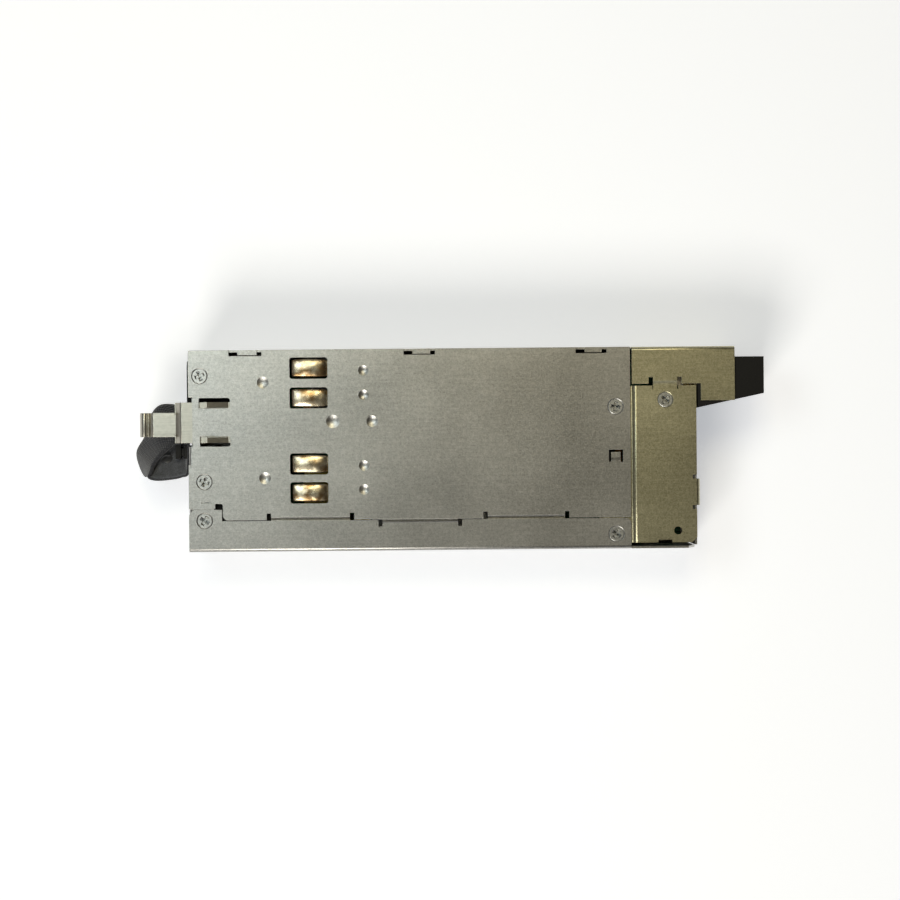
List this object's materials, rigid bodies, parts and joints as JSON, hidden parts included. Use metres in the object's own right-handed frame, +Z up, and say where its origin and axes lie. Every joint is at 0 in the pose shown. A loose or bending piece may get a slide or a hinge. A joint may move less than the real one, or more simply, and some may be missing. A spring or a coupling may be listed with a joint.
{
  "type": "hot swap server power supply",
  "caption": "Slim folded steel server power supply with a spring release latch, cord strap, rear inlet and fan, and a blind mating connector.",
  "frame": {"origin": "middle of the casing's flat underside, on the surface it lies on", "axes": "+X from the rear panel to the connector end, +Z up from the underside to the main cover"},
  "size_m": [0.228, 0.0734, 0.0417],
  "materials": {
    "galvanised_steel": "zinc coated, fine speckle",
    "plated_steel": "bright zinc",
    "nickel_spring": "bright nickel",
    "black_webbing": "woven loop face",
    "black_plastic": "moulded",
    "plated_brass": "plated",
    "clear_plastic": "clear",
    "soft_rubber": "soft",
    "laminated_steel": "laminated",
    "green_board": "lacquered",
    "white_plastic": "moulded",
    "white_ceramic": "glazed",
    "dark_ferrite": "sintered",
    "copper_wire": "enamelled",
    "copper_bar": "tinned copper",
    "yellow_plastic": "moulded",
    "sleeved_aluminium": "sleeved",
    "aluminium": "extruded"
  },
  "bodies": {
    "casing": {"base_tray": "galvanised_steel", "top_cover": "galvanised_steel", "rear_panel": "galvanised_steel", "end_cover": "galvanised_steel", "connector_bracket": "galvanised_steel", "end_vent_panel": "galvanised_steel", "casing_screws": "plated_steel", "latch_root": "nickel_spring", "upper_ground_spring": "nickel_spring", "lower_ground_spring": "nickel_spring", "cord_strap": "black_webbing", "strap_anchor": "black_plastic", "inlet_housing": "black_plastic", "inlet_pins": "plated_brass", "status_light_pipe": "clear_plastic", "fan_gasket": "soft_rubber", "fan_frame": "black_plastic", "fan_bearing": "plated_brass", "fan_stator": "laminated_steel", "fan_clip": "galvanised_steel", "main_board": "green_board", "insulating_film": "clear_plastic", "board_standoffs": "white_plastic", "input_fuse": "white_ceramic", "input_choke_core": "dark_ferrite", "input_choke_coil": "copper_wire", "filter_capacitors": "yellow_plastic", "bridge_rectifier": "black_plastic", "primary_heatsink": "aluminium", "primary_transistors": "black_plastic", "boost_inductor_core": "dark_ferrite", "boost_inductor_coil": "copper_wire", "bulk_capacitors": "sleeved_aluminium", "main_transformer_core": "dark_ferrite", "main_transformer_coil": "copper_wire", "output_inductor": "dark_ferrite", "secondary_heatsink": "aluminium", "output_rectifiers": "black_plastic", "output_capacitors": "sleeved_aluminium", "control_board": "green_board", "bus_bars": "copper_bar", "connector_housing": "black_plastic", "power_contacts": "plated_brass", "signal_pins": "plated_brass"},
    "latch": {"release_latch": "nickel_spring"},
    "fan_wheel": {"fan_rotor": "black_plastic", "fan_shaft": "plated_steel"}
  },
  "joints": [
    {"name": "latch_press", "type": "hinge", "parent": "casing", "child": "latch", "pos_m": [-0.05, 0.01045, 0.0385], "axis": [0, -1, 0], "range_deg": [0, 3.5], "stiffness_Nm_per_rad": 10},
    {"name": "fan_spin", "type": "hinge", "parent": "casing", "child": "fan_wheel", "pos_m": [-0.075, -0.0175, 0.01885], "axis": [1, 0, 0], "continuous": true}
  ]
}
